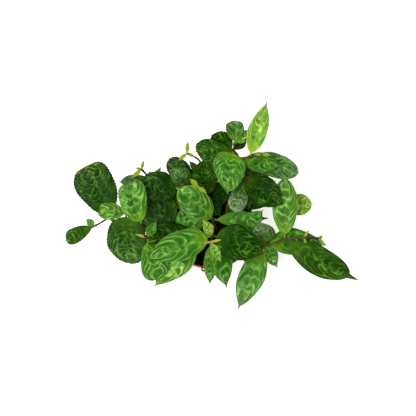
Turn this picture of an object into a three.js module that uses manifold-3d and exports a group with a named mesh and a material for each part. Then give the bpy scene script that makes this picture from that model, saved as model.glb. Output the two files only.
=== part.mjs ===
// A lipstick plant in a small nursery pot: a thin plastic pot with lugs for a wire hanger, peat soil, and
// leafy stems that rise from the soil and arch out over the rim. Millimetres, +Z up. The origin is the
// centre of the pot's underside, +X runs along the plant's longest spread.
import * as THREE from "three";
import { mergeVertices } from "three/addons/utils/BufferGeometryUtils.js";
import Module from "manifold-3d";

const DEGREE = Math.PI / 180;
const TURN = 360 * DEGREE;
const GAP = 0.4; // clear space between pieces that touch in the real plant

// The pot tapers down to its foot and has a stepped band round the rim.
const POT_HEIGHT = 90;
const RIM_RADIUS = 52.5;
const FOOT_RADIUS = 37;
const POT_WALL = 1.4;
const BAND_HEIGHT = 11;
const BAND_STEP = 2.2;
const POT_SIDES = 32;
const DRAIN = { count: 6, radius: 4, circle: 24, sides: 10 };

// Four lugs stand out from the band, each with a plain hole for a hanger's wire.
const LUG = { count: 4, first: -99, radius: 2.7, hole: 1.1, reach: 1.7, thickness: 2.2, top: 88 };

// Peat fills the pot to just below the band, mounded towards the middle.
const SOIL_LEVEL = 81;
const SOIL_EDGE = 78.5;
const SOIL_BUMP = 1.3;
const SOIL_RINGS = [42, 32, 21, 11];

// Stems stand in holes in the soil.
const STEM_RADIUS = 1.7;
const STEM_SIDES = 6;
const STEM_FOOT = 62;
const STEM_UPRIGHT = 86; // a stem is upright up to here and arches above it
const HOLE_SLACK = 0.9;

// Leaf blades: widest before the middle, on a short stalk, with waved edges and a drawn-out tip.
const BLADE = { thickness: 0.8, stalk: 0.08, stalkHalfWidth: 1.1, tipHalfWidth: 0.45, tipSlope: 0.17 };
const BLADE_SHAPE = { swell: 0.7, taper: 0.9, drip: 0.05 };
const BLADE_FOLD = 0.12; // how far the edges stand above the midrib, as a share of the half width
const EDGE_WAVE = 0.07; // how far the edges wave up and down, as a share of the half width
const EDGE_TOOTH = 0.05; // how far they wave in and out
const STATIONS = { tiny: 3, small: 6, full: 9 }; // stations along a leaf, by its length
const SMALL_LEAF = 30;
const TINY_LEAF = 18;

// Each leafy stem: its points above the soil, where x and y of the first are its foot, and its leaves.
// A leaf grows from one of those points (at). Its midrib leaves at rise degrees above level towards heading
// (0 is +X, 90 is +Y), bends down by droop degrees along its length and to the left by bend of its length.
// With less swell than most it is broader at its base and with less taper it is blunter. Drip is the share
// of it that is drawn out as a tip.
const LEAFY_STEMS = [
  {
    name: "leafy_stem_front",
    stem: [[2, 12], [3, 1, 112], [2, -22, 138], [0, -31, 148]],
    leaves: [
      { at: 1, heading: 144, rise: 54, droop: 40, length: 64, width: 34, swell: 0.6, taper: 0.55 },
      { at: 1, heading: 2, rise: 6, droop: 14, length: 65, width: 17 },
      { at: 2, heading: -161, rise: 14, droop: 36, length: 80, width: 34, swell: 0.55, taper: 0.75 },
      { at: 2, heading: -20, rise: 22, droop: 38, length: 65, width: 40, swell: 0.55 },
      { at: 3, heading: -55, rise: -17, droop: 40, length: 63, width: 27, bend: -0.2, taper: 1.1 },
      { at: 3, heading: -91, rise: -35, droop: 30, length: 65, width: 15 },
      { at: 3, heading: -62, rise: -4, droop: 24, length: 26, width: 10 },
      { at: 2, heading: 127, rise: 59, droop: 20, length: 27, width: 12 },
      { at: 3, heading: -160, rise: 48, droop: 10, length: 12, width: 3 },
      { at: 3, heading: 5, rise: 40, droop: 10, length: 14, width: 3 },
    ],
  },
  {
    name: "leafy_stem_front_left",
    stem: [[-12, -6], [-18, -19, 108], [-73, -22, 124], [-79, -8, 134]],
    leaves: [
      { at: 1, heading: 110, rise: 20, droop: 24, length: 42, width: 32 },
      { at: 1, heading: -111, rise: 11, droop: 50, length: 75, width: 29, bend: -0.36 },
      { at: 1, heading: -152, rise: -10, droop: 40, length: 58, width: 26 },
      { at: 1, heading: -178, rise: 30, droop: 34, length: 62, width: 34, swell: 0.5, taper: 0.45 },
      { at: 2, heading: -70, rise: -7, droop: 36, length: 55, width: 33, bend: -0.1, taper: 0.45 },
      {
        at: 3, heading: 112, rise: 64, droop: 110, length: 59, width: 32,
        bend: -0.1, swell: 0.6, taper: 0.34,
      },
      { at: 2, heading: 60, rise: 16, droop: 14, length: 22, width: 12 },
      { at: 2, heading: 164, rise: 18, droop: 20, length: 14, width: 3 },
    ],
  },
  {
    name: "leafy_stem_west",
    stem: [[-24, 8], [-60, 18, 103], [-98, 8, 119], [-114, 3, 122], [-135, -7, 115]],
    leaves: [
      { at: 1, heading: -140, rise: -10, droop: 36, length: 46, width: 26 },
      { at: 3, heading: 118, rise: 27, droop: 40, length: 68, width: 45, swell: 0.5, taper: 0.3, drip: 0.01 },
      { at: 2, heading: -179, rise: 50, droop: 70, length: 37, width: 20, taper: 0.5 },
      { at: 4, heading: -157, rise: -5, droop: 30, length: 42, width: 19, taper: 0.4 },
      { at: 4, heading: 140, rise: 24, droop: 12, length: 13, width: 9 },
      { at: 3, heading: -81, rise: -30, droop: 10, length: 8, width: 5 },
      {
        at: 2, heading: -92, rise: -2, droop: 36, length: 62, width: 46,
        bend: 0.12, swell: 0.45, taper: 0.5, drip: 0.02,
      },
    ],
  },
  {
    name: "leafy_stem_west_north",
    stem: [[-20, 21], [-36, 17, 107], [-37, 37, 114], [-67, 46, 121], [-80, 57, 132]],
    leaves: [
      {
        at: 1, heading: -169, rise: 24, droop: 36, length: 48, width: 46,
        bend: 0.1, swell: 0.5, taper: 0.45,
      },
      { at: 1, heading: 118, rise: -4, droop: 36, length: 42, width: 24 },
      { at: 1, heading: 140, rise: -6, droop: 36, length: 46, width: 20 },
      { at: 2, heading: 179, rise: 40, droop: 52, length: 50, width: 37, swell: 0.55, taper: 0.5 },
      { at: 3, heading: 115, rise: 38, droop: 10, length: 13, width: 6 },
      { at: 3, heading: 57, rise: 31, droop: 12, length: 19, width: 7 },
      { at: 3, heading: -176, rise: 19, droop: 24, length: 40, width: 15, taper: 0.6 },
      { at: 4, heading: -137, rise: 3, droop: 14, length: 15, width: 5 },
      { at: 4, heading: 69, rise: 45, droop: 10, length: 12, width: 4 },
      { at: 4, heading: 179, rise: 45, droop: 10, length: 8, width: 3 },
    ],
  },
  {
    name: "leafy_stem_north_west",
    stem: [[-10, 30], [-21, 42, 104], [-14, 59, 112], [-12, 67, 122], [-16, 69, 136], [-27, 72, 146]],
    leaves: [
      {
        at: 1, heading: 132, rise: 39, droop: 32, length: 46, width: 25,
        swell: 0.6, taper: 0.45, drip: 0.02,
      },
      { at: 1, heading: 156, rise: 74, droop: 44, length: 48, width: 25, swell: 0.6, taper: 0.5 },
      { at: 1, heading: 82, rise: -4, droop: 36, length: 31, width: 22 },
      { at: 1, heading: 112, rise: -16, droop: 36, length: 38, width: 20 },
      { at: 2, heading: 133, rise: 23, droop: 20, length: 17, width: 8 },
      { at: 5, heading: 84, rise: 42, droop: 10, length: 15, width: 5 },
      { at: 5, heading: -144, rise: -14, droop: 10, length: 13, width: 5 },
      { at: 5, heading: -22, rise: -6, droop: 10, length: 10, width: 4 },
    ],
  },
  {
    name: "leafy_stem_centre",
    stem: [[-6, 12], [-5, 27, 114], [-10, 35, 146], [-14, 30, 157]],
    leaves: [
      { at: 1, heading: 95, rise: 38, droop: 30, length: 47, width: 31, taper: 0.7 },
      { at: 1, heading: -50, rise: -10, droop: 20, length: 27, width: 22 },
      { at: 1, heading: -100, rise: -14, droop: 20, length: 30, width: 20 },
      { at: 3, heading: 142, rise: 39, droop: 12, length: 14, width: 6 },
      { at: 3, heading: -41, rise: 24, droop: 10, length: 13, width: 5 },
    ],
  },
  {
    name: "leafy_stem_north",
    stem: [[10, 27], [18, 52, 116], [22, 64, 138], [26, 74, 151], [27, 80, 159]],
    leaves: [
      { at: 1, heading: 100, rise: -4, droop: 36, length: 54, width: 26 },
      { at: 1, heading: 76, rise: -8, droop: 36, length: 48, width: 22 },
      { at: 1, heading: 138, rise: -8, droop: 40, length: 44, width: 24 },
      { at: 1, heading: -108, rise: -12, droop: 20, length: 43, width: 22 },
      {
        at: 3, heading: -158, rise: 10, droop: 38, length: 42, width: 36,
        bend: -0.42, swell: 0.55, taper: 0.5,
      },
      { at: 3, heading: -109, rise: 18, droop: 38, length: 51, width: 37, bend: 0.2, swell: 0.4, taper: 0.7 },
      { at: 3, heading: 140, rise: 4, droop: 36, length: 35, width: 25, taper: 0.7 },
      { at: 3, heading: 52, rise: -14, droop: 20, length: 27, width: 14 },
      { at: 4, heading: 88, rise: 11, droop: 54, length: 33, width: 21, taper: 0.6 },
      { at: 4, heading: 45, rise: 8, droop: 30, length: 24, width: 15 },
    ],
  },
  {
    name: "leafy_stem_north_east",
    stem: [[20, 20], [26, 52, 110], [34, 65, 147], [44, 65, 155], [58, 67, 159]],
    leaves: [
      { at: 1, heading: 14, rise: -6, droop: 40, length: 56, width: 26 },
      { at: 1, heading: 50, rise: -12, droop: 36, length: 42, width: 22 },
      { at: 3, heading: 72, rise: 27, droop: 26, length: 66, width: 22 },
      { at: 2, heading: -8, rise: -2, droop: 36, length: 76, width: 29, taper: 0.6, drip: 0.02 },
      { at: 2, heading: -15, rise: 11, droop: 24, length: 48, width: 23, bend: 0.1 },
      { at: 4, heading: -177, rise: 28, droop: 10, length: 10, width: 5 },
      { at: 4, heading: -7, rise: 18, droop: 10, length: 10, width: 4 },
    ],
  },
  {
    name: "leafy_stem_east",
    stem: [[18, 8], [22, 26, 106], [38, 45, 136], [59, 42, 132], [85, 16, 120]],
    leaves: [
      { at: 1, heading: 4, rise: 0, droop: 36, length: 58, width: 26 },
      { at: 1, heading: 36, rise: -12, droop: 30, length: 46, width: 22 },
      { at: 1, heading: -58, rise: 4, droop: 30, length: 34, width: 22 },
      { at: 2, heading: -39, rise: 28, droop: 40, length: 57, width: 34, taper: 0.75 },
      { at: 2, heading: -105, rise: -8, droop: 40, length: 44, width: 22, taper: 0.5 },
      { at: 2, heading: -76, rise: -22, droop: 30, length: 38, width: 22 },
      { at: 2, heading: 130, rise: 60, droop: 20, length: 15, width: 8 },
      { at: 3, heading: -29, rise: -8, droop: 20, length: 20, width: 10 },
      { at: 4, heading: 6, rise: 3, droop: 26, length: 36, width: 26, taper: 0.7 },
    ],
  },
  {
    name: "leafy_stem_south_east",
    stem: [[14, -8], [35, -16, 112], [62, -30, 121], [84, -25, 129], [106, -23, 133], [124, -24, 131]],
    leaves: [
      { at: 1, heading: 45, rise: 40, droop: 26, length: 41, width: 22 },
      { at: 1, heading: -58, rise: -8, droop: 40, length: 54, width: 26 },
      { at: 1, heading: -116, rise: -10, droop: 24, length: 44, width: 22 },
      { at: 1, heading: -8, rise: -6, droop: 30, length: 58, width: 26 },
      { at: 2, heading: 104, rise: 47, droop: 36, length: 30, width: 30 },
      { at: 2, heading: -57, rise: -16, droop: 26, length: 33, width: 17, taper: 1.1 },
      { at: 2, heading: -113, rise: 4, droop: 40, length: 83, width: 30 },
      { at: 2, heading: 10, rise: 7, droop: 26, length: 72, width: 32, bend: -0.15 },
      { at: 3, heading: 89, rise: 24, droop: 36, length: 75, width: 29, swell: 0.6, taper: 0.6 },
      {
        at: 3, heading: -37, rise: 7, droop: 38, length: 100, width: 34,
        bend: 0.17, swell: 0.6, taper: 0.6, drip: 0.14,
      },
      { at: 4, heading: 55, rise: 52, droop: 10, length: 11, width: 3 },
      { at: 4, heading: -75, rise: -12, droop: 20, length: 28, width: 5 },
      { at: 5, heading: -53, rise: -25, droop: 10, length: 12, width: 4 },
      { at: 5, heading: 42, rise: 64, droop: 10, length: 6, width: 4 },
    ],
  },
];

const MATERIALS = {
  pot: new THREE.MeshStandardMaterial({ color: 0x84341f, roughness: 0.5, metalness: 0 }),
  soil: new THREE.MeshStandardMaterial({ color: 0x17120e, roughness: 0.95, metalness: 0 }),
  leaves: new THREE.MeshStandardMaterial({ color: 0x2f7a35, roughness: 0.4, metalness: 0 }),
};

const wasm = await Module();
wasm.setup();
const { Manifold, Mesh } = wasm;

// A closed geometry as a solid that can be joined and cut.
function solid(geometry) {
  const bare = geometry.clone();
  for (const attribute of Object.keys(bare.attributes)) {
    if (attribute !== "position") bare.deleteAttribute(attribute);
  }
  const merged = mergeVertices(bare, 1e-4);
  const vertProperties = new Float32Array(merged.attributes.position.array);
  return new Manifold(new Mesh({ numProp: 3, vertProperties, triVerts: new Uint32Array(merged.index.array) }));
}

// A solid as a geometry with a normal for each face.
function surface(made) {
  const mesh = made.getMesh();
  const geometry = new THREE.BufferGeometry();
  geometry.setAttribute("position", new THREE.BufferAttribute(new Float32Array(mesh.vertProperties), 3));
  geometry.setIndex(new THREE.BufferAttribute(new Uint32Array(mesh.triVerts), 1));
  geometry.computeVertexNormals();
  return geometry;
}

// A profile of [radius, height] pairs turned round the Z axis.
function turned(profile, sides) {
  const points = profile.map(([radius, height]) => new THREE.Vector2(radius, height));
  return new THREE.LatheGeometry(points, sides).rotateX(90 * DEGREE);
}

// An upright cylinder from one height to another.
function upright(radius, x, y, from, to, sides) {
  const cylinder = new THREE.CylinderGeometry(radius, radius, to - from, sides).rotateX(90 * DEGREE);
  return solid(cylinder.translate(x, y, (from + to) / 2));
}

function pot() {
  const bandFoot = POT_HEIGHT - BAND_HEIGHT;
  const underBand = RIM_RADIUS - BAND_STEP;
  const profile = [
    [0, 0],
    [FOOT_RADIUS - 1, 0],
    [FOOT_RADIUS, 1],
    [underBand, bandFoot],
    [RIM_RADIUS, bandFoot + 1],
    [RIM_RADIUS, POT_HEIGHT - 0.5],
    [RIM_RADIUS - 0.5, POT_HEIGHT],
    [RIM_RADIUS - POT_WALL, POT_HEIGHT],
    [RIM_RADIUS - POT_WALL, bandFoot + 2.2],
    [underBand - POT_WALL, bandFoot + 0.8],
    [FOOT_RADIUS - POT_WALL, POT_WALL],
    [0, POT_WALL],
  ];
  let made = solid(turned(profile, POT_SIDES));
  for (let i = 0; i < DRAIN.count; i++) {
    const angle = (TURN * i) / DRAIN.count;
    const [x, y] = [DRAIN.circle * Math.cos(angle), DRAIN.circle * Math.sin(angle)];
    made = made.subtract(upright(DRAIN.radius, x, y, -1, POT_WALL + 1, DRAIN.sides));
  }
  for (let i = 0; i < LUG.count; i++) made = made.add(lug(LUG.first * DEGREE + (TURN * i) / LUG.count));
  return surface(made);
}

// A round-ended tab on the band, pierced for the wire.
function lug(angle) {
  const root = LUG.reach + POT_WALL / 2;
  const outline = new THREE.Shape();
  outline.moveTo(-root, -LUG.radius);
  outline.absarc(0, 0, LUG.radius, -90 * DEGREE, 90 * DEGREE, false);
  outline.lineTo(-root, LUG.radius);
  const tab = new THREE.ExtrudeGeometry(outline, {
    depth: LUG.thickness,
    bevelEnabled: false,
    curveSegments: 8,
  });
  const distance = RIM_RADIUS + LUG.reach;
  tab.translate(distance, 0, LUG.top - LUG.thickness).rotateZ(angle);
  const [x, y] = [distance * Math.cos(angle), distance * Math.sin(angle)];
  return solid(tab).subtract(upright(LUG.hole, x, y, LUG.top - LUG.thickness - 1, LUG.top + 1, 12));
}

// Lumps in the soil's top.
function lumps(x, y) {
  return Math.sin(x / 4.1 + 1) * Math.cos(y / 3.7) + 0.6 * Math.sin(x / 2.3 - y / 2.9);
}

function soil() {
  const inner = RIM_RADIUS - BAND_STEP - POT_WALL - GAP;
  const profile = [
    [0, POT_WALL + GAP],
    [FOOT_RADIUS - POT_WALL - GAP, POT_WALL + GAP],
    [inner, SOIL_EDGE],
    ...SOIL_RINGS.map((radius) => [radius, SOIL_LEVEL - 2 * (radius / inner) ** 2]),
    [0, SOIL_LEVEL],
  ];
  const body = turned(profile, POT_SIDES);
  const place = body.attributes.position;
  for (let i = 0; i < place.count; i++) {
    const top = place.getZ(i) > SOIL_EDGE + 0.1;
    if (top) place.setZ(i, place.getZ(i) + SOIL_BUMP * lumps(place.getX(i), place.getY(i)));
  }
  let made = solid(body);
  for (const { stem } of LEAFY_STEMS) {
    const [x, y] = stem[0];
    made = made.subtract(upright(STEM_RADIUS + HOLE_SLACK, x, y, STEM_FOOT - GAP, POT_HEIGHT, 8));
  }
  return surface(made);
}

// A stem: a tube that stands upright in the soil and then follows the stem's points.
function stemTube(points) {
  const [[x, y], ...above] = points;
  const path = new THREE.CatmullRomCurve3([
    new THREE.Vector3(x, y, STEM_FOOT),
    new THREE.Vector3(x, y, SOIL_EDGE),
    new THREE.Vector3(x, y, STEM_UPRIGHT),
    ...above.map((point) => new THREE.Vector3(...point)),
  ]);
  const section = new THREE.Shape(
    Array.from({ length: STEM_SIDES }, (_, i) => {
      const angle = (TURN * i) / STEM_SIDES;
      return new THREE.Vector2(STEM_RADIUS * Math.cos(angle), STEM_RADIUS * Math.sin(angle));
    }),
  );
  const steps = 2 * (above.length + 3);
  return new THREE.ExtrudeGeometry(section, { extrudePath: path, steps });
}

// Half the blade's width at a share of its length.
function halfWidth(share, length, width, { swell, taper, drip }) {
  const along = Math.min(1, Math.max(0, (share - BLADE.stalk) / (1 - BLADE.stalk - drip)));
  const peak = swell / (swell + taper);
  const most = peak ** swell * (1 - peak) ** taper;
  const full = (along ** swell * (1 - along) ** taper) / most;
  const tip = BLADE.tipHalfWidth + BLADE.tipSlope * (1 - share) * length;
  const least = share < 0.5 ? BLADE.stalkHalfWidth : tip;
  return Math.max((width / 2) * full, Math.min(least, width / 2));
}

// A leaf as a closed sheet: stations along the midrib, each with two edges and the midrib between them.
// Both faces are split into the same triangles.
function leaf(root, { heading, rise, droop, length, width, bend = 0, ...outline }) {
  const shape = { ...BLADE_SHAPE, ...outline };
  const short = length < TINY_LEAF ? STATIONS.tiny : STATIONS.small;
  const stations = length < SMALL_LEAF ? short : STATIONS.full;
  const ahead = new THREE.Vector3(Math.cos(heading * DEGREE), Math.sin(heading * DEGREE), 0);
  const level = new THREE.Vector3(-ahead.y, ahead.x, 0);
  const up = new THREE.Vector3(0, 0, 1);
  const [start, curl] = [rise * DEGREE, droop * DEGREE];
  const top = [];
  const bottom = [];
  for (let i = 0; i <= stations; i++) {
    const share = i / stations;
    const slope = start - curl * share;
    const middle = root
      .clone()
      .addScaledVector(ahead, (length * (Math.sin(start) - Math.sin(slope))) / curl)
      .addScaledVector(up, (length * (Math.cos(slope) - Math.cos(start))) / curl)
      .addScaledVector(level, length * bend * share ** 2);
    const tangent = ahead.clone().multiplyScalar(Math.cos(slope)).addScaledVector(up, Math.sin(slope));
    const normal = tangent.clone().cross(level);
    const half = halfWidth(share, length, width, shape);
    const turn = i % 2 ? 1 : -1;
    for (const across of [-1, 0, 1]) {
      const out = half * (1 + EDGE_TOOTH * turn) * across;
      const lift = half * Math.abs(across) * (BLADE_FOLD + EDGE_WAVE * turn * across);
      const point = middle.clone().addScaledVector(level, out).addScaledVector(normal, lift);
      top.push(point);
      bottom.push(point.clone().addScaledVector(normal, -BLADE.thickness));
    }
  }
  return sheet(top, bottom, stations, 2);
}

// A closed solid between two grids of points with rows x columns quads.
function sheet(top, bottom, rows, columns) {
  const index = [];
  const at = (row, column) => row * (columns + 1) + column;
  const under = top.length;
  const quad = (a, b, c, d) => index.push(a, b, c, a, c, d);
  for (let row = 0; row < rows; row++) {
    for (let column = 0; column < columns; column++) {
      const corners = [at(row, column), at(row + 1, column), at(row + 1, column + 1), at(row, column + 1)];
      const [a, b, c, d] = corners;
      quad(a, b, c, d);
      index.push(under + a, under + c, under + b, under + a, under + d, under + c);
    }
    const [left, leftNext] = [at(row, 0), at(row + 1, 0)];
    const [right, rightNext] = [at(row, columns), at(row + 1, columns)];
    quad(left, under + left, under + leftNext, leftNext);
    quad(right, rightNext, under + rightNext, under + right);
  }
  for (let column = 0; column < columns; column++) {
    const [near, nearNext] = [at(0, column), at(0, column + 1)];
    const [far, farNext] = [at(rows, column), at(rows, column + 1)];
    quad(near, nearNext, under + nearNext, under + near);
    quad(far, under + far, under + farNext, farNext);
  }
  const geometry = new THREE.BufferGeometry();
  geometry.setAttribute("position", new THREE.Float32BufferAttribute(
    [...top, ...bottom].flatMap((point) => point.toArray()), 3,
  ));
  geometry.setIndex(index);
  return geometry;
}

function leafyStem({ stem, leaves }) {
  const pieces = [solid(stemTube(stem))];
  for (const blade of leaves) {
    const root = new THREE.Vector3(...stem[blade.at]);
    pieces.push(solid(leaf(root, blade)));
  }
  return surface(Manifold.union(pieces).simplify(0.01));
}

function piece(name, geometry, material) {
  const mesh = new THREE.Mesh(geometry, material);
  mesh.name = name;
  return mesh;
}

const plant = new THREE.Group();
plant.add(piece("pot", pot(), MATERIALS.pot));
plant.add(piece("soil", soil(), MATERIALS.soil));
for (const shoot of LEAFY_STEMS) plant.add(piece(shoot.name, leafyStem(shoot), MATERIALS.leaves));

export default plant;
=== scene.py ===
"""A lipstick plant in a small nursery pot, dressed for rendering.

The pot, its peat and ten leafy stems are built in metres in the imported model's own frame: +Z up, the
origin at the centre of the pot's underside. Each leafy stem is grown by one Geometry Nodes tree from a
short plan of points, and keeps the form of the solid that it stands for.
"""

from __future__ import annotations

import logging
import math
from dataclasses import dataclass
from enum import Enum
from itertools import accumulate
from typing import Callable, Iterator, Mapping, Optional, Sequence, Union

import bmesh
import bpy
from bpy.types import ID, Material, Mesh, Node, NodeSocket, NodeTree, Object
from mathutils import Euler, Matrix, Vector

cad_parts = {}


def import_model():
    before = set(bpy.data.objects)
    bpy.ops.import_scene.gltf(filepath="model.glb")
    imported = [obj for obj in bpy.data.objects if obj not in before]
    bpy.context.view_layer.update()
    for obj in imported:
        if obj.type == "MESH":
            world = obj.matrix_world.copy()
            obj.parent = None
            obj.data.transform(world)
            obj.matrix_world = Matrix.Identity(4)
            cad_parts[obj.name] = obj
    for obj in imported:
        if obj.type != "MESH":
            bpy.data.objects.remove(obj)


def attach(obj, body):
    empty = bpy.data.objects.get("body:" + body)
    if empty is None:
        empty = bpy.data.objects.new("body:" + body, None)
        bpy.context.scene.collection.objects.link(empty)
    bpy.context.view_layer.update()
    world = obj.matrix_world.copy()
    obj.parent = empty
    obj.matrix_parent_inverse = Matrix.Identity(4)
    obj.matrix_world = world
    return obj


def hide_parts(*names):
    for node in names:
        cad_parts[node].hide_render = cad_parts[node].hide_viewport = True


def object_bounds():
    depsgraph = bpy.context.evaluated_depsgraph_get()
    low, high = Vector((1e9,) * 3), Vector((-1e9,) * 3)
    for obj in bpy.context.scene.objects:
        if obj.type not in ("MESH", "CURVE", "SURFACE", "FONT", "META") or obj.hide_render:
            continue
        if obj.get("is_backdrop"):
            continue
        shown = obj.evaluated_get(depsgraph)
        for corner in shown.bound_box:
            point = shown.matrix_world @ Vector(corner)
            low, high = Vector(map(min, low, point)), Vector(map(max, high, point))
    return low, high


log = logging.getLogger("lipstick_plant")

MM = 0.001
TAU = 2 * math.pi
BODY = "root"

Plug = Union[float, int, bool, str, tuple, list, "Value", ID]
Point = tuple[float, float, float]
Profile = Sequence[tuple[float, float]]


def operator(operation: str, step: int = 1) -> Callable[[Value, Plug], Value]:
    """One of a value's operators, by what the math node does. A step of -1 swaps its terms."""
    return lambda value, other: value.tree.math(operation, *(value, other)[::step])


class Value:
    """A node's output with arithmetic, so that a formula reads as one."""

    def __init__(self, tree: Tree, socket: NodeSocket) -> None:
        """Keep the output and the tree that it belongs to."""
        self.tree = tree
        self.socket = socket

    __add__ = __radd__ = operator("ADD")
    __mul__ = __rmul__ = operator("MULTIPLY")
    __sub__ = operator("SUBTRACT")
    __rsub__ = operator("SUBTRACT", step=-1)
    __truediv__ = operator("DIVIDE")
    __rtruediv__ = operator("DIVIDE", step=-1)
    __pow__ = operator("POWER")


def pick(sockets: Sequence[NodeSocket], key: Union[int, str]) -> NodeSocket:
    """A node's socket by its number, or by its name among those in use, with _ for a space."""
    named = (socket for socket in sockets if socket.enabled and socket.name == key.replace("_", " "))
    return sockets[key] if isinstance(key, int) else next(named)


class Tree:
    """A node tree under construction."""

    def __init__(self, nodes: NodeTree) -> None:
        """Start adding to a node tree."""
        self.nodes = nodes

    def add(self, kind: str, *plugs: Plug, **named: Plug) -> Node:
        """Add a node.

        Args:
            kind: The node's type.
            *plugs: What its first inputs hold: plain values or other nodes' outputs.
            **named: What more inputs hold, where a name has a capital, and the node's own properties.

        Returns:
            The node.
        """
        node = self.nodes.nodes.new(kind)
        sockets = dict(enumerate(plugs))
        for name, plug in named.items():
            if name[0].isupper():
                sockets[name] = plug
            else:
                setattr(node, name, plug)
        for key, plug in sockets.items():
            socket = pick(node.inputs, key)
            for end in plug if isinstance(plug, list) else [plug]:
                if isinstance(end, Value):
                    self.nodes.links.new(end.socket, socket)
                else:
                    socket.default_value = end
        return node

    def value(self, kind: str, *plugs: Plug, output: Union[int, str] = 0, **named: Plug) -> Value:
        """Add a node, as add does, and give the output with a number or name."""
        return Value(self, pick(self.add(kind, *plugs, **named).outputs, output))

    def math(self, operation: str, *terms: Plug) -> Value:
        """Apply a math operation to up to three terms."""
        return self.value("ShaderNodeMath", *terms, operation=operation)

    def size(self, value: Value) -> Value:
        """A value without its sign."""
        return self.math("ABSOLUTE", value)

    def sin(self, angle: Plug) -> Value:
        """The sine of an angle in radians."""
        return self.math("SINE", angle)

    def cos(self, angle: Plug) -> Value:
        """The cosine of an angle in radians."""
        return self.math("COSINE", angle)

    def smooth(self, value: Plug, low: Plug, high: Plug) -> Value:
        """Rise smoothly from 0 where the value is low to 1 where it is high."""
        return self.value("ShaderNodeMapRange", value, low, high, interpolation_type="SMOOTHSTEP")

    def vector(self, x: Plug, y: Plug, z: Plug) -> Value:
        """Three numbers as a vector."""
        return self.value("ShaderNodeCombineXYZ", x, y, z)

    def parts(self, vector: Value) -> tuple[Value, Value, Value]:
        """A vector's three numbers."""
        node = self.add("ShaderNodeSeparateXYZ", vector)
        return tuple(Value(self, output) for output in node.outputs)

    def combine(self, operation: str, *vectors: Plug, **named: Plug) -> Value:
        """Apply a vector operation."""
        return self.value("ShaderNodeVectorMath", *vectors, operation=operation, **named)

    def scale(self, vector: Plug, factor: Plug) -> Value:
        """A vector made longer by a factor."""
        return self.combine("SCALE", vector, Scale=factor)

    def noise(self, place: Plug, scale: Plug, detail: float = 2.0) -> Value:
        """Noise from 0 to 1 at a place."""
        return self.value("ShaderNodeTexNoise", Vector=place, Scale=scale, Detail=detail)


class GroupTree(Tree):
    """A node group under construction, with named inputs and outputs."""

    KINDS = {
        float: "NodeSocketFloat",
        int: "NodeSocketInt",
        Vector: "NodeSocketVector",
        Mesh: "NodeSocketGeometry",
        Material: "NodeSocketMaterial",
    }

    def __init__(
        self, name: str, kind: str, inputs: Mapping[str, type], outputs: Mapping[str, type]
    ) -> None:
        """Start a group.

        Args:
            name: The group's name.
            kind: What kind of tree it is.
            inputs: Each input's name, and the type of what it holds.
            outputs: The same of each output.
        """
        super().__init__(bpy.data.node_groups.new(name, kind))
        for side, sockets in (("INPUT", inputs), ("OUTPUT", outputs)):
            for label, held in sockets.items():
                self.nodes.interface.new_socket(name=label, in_out=side, socket_type=self.KINDS[held])
        self.inputs = self.nodes.nodes.new("NodeGroupInput").outputs

    def given(self, name: str) -> Value:
        """One of the group's own inputs."""
        return Value(self, pick(self.inputs, name))


def shown(name: str, data: ID) -> Object:
    """Show some data in the scene.

    Args:
        name: The object's name.
        data: What it shows.

    Returns:
        A new object at the origin.
    """
    thing = bpy.data.objects.new(name, data)
    bpy.context.scene.collection.objects.link(thing)
    return thing


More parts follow.
